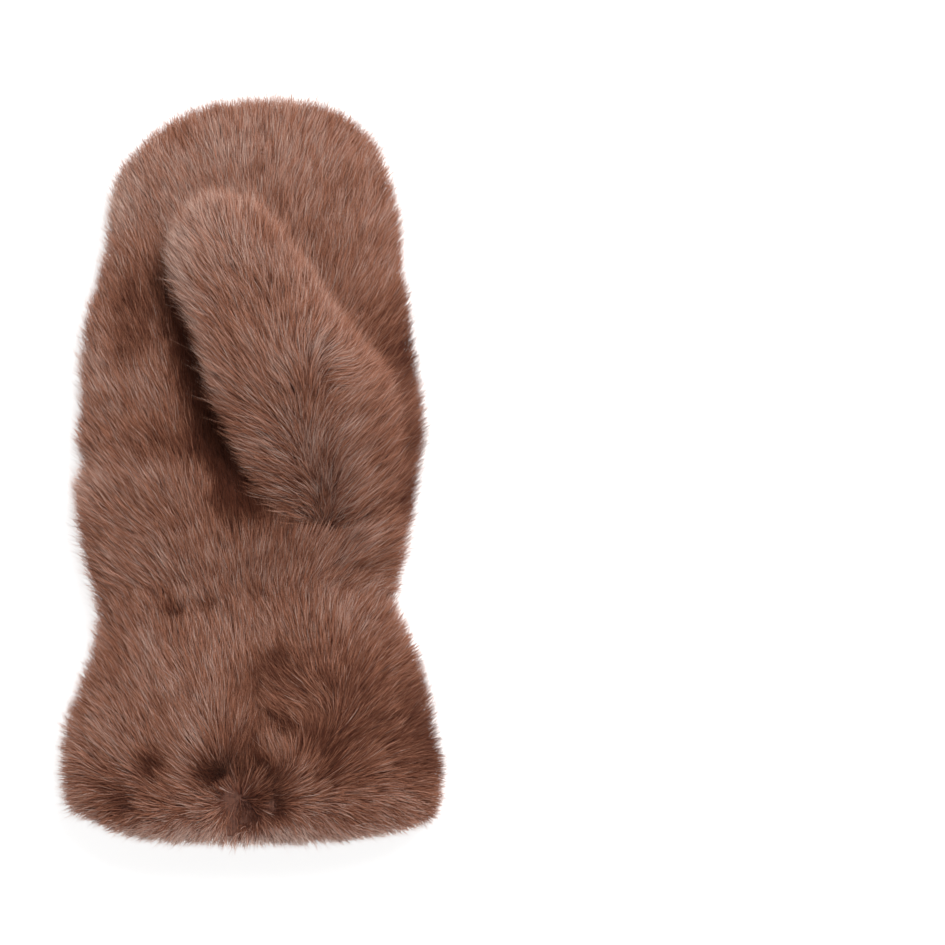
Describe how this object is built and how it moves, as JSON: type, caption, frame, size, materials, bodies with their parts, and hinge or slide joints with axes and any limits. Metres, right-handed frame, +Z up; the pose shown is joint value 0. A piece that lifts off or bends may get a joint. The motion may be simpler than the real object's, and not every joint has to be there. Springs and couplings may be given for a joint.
{
  "type": "fur mitten",
  "caption": "Right-hand mitten of long-pile fur lying palm up, with a folded-over thumb, a gathered wrist and a flared cuff.",
  "frame": {"origin": "on the surface it rests on, under the middle of its outline", "axes": "+X across the palm towards the thumb's side, +Y from the cuff to the fingertips, +Z up out of the palm"},
  "size_m": [0.144, 0.28, 0.073],
  "materials": {
    "hand_fur": "long soft pile, matt, brown with darker roots",
    "thumb_fur": "long soft pile, matt, light brown with darker roots",
    "cuff_fur": "long soft pile, matt, brown with darker roots"
  },
  "bodies": {
    "root": {"hand_back": "hand_fur", "hand_palm": "hand_fur", "thumb_front": "thumb_fur", "thumb_side": "thumb_fur", "cuff": "cuff_fur"}
  },
  "joints": []
}
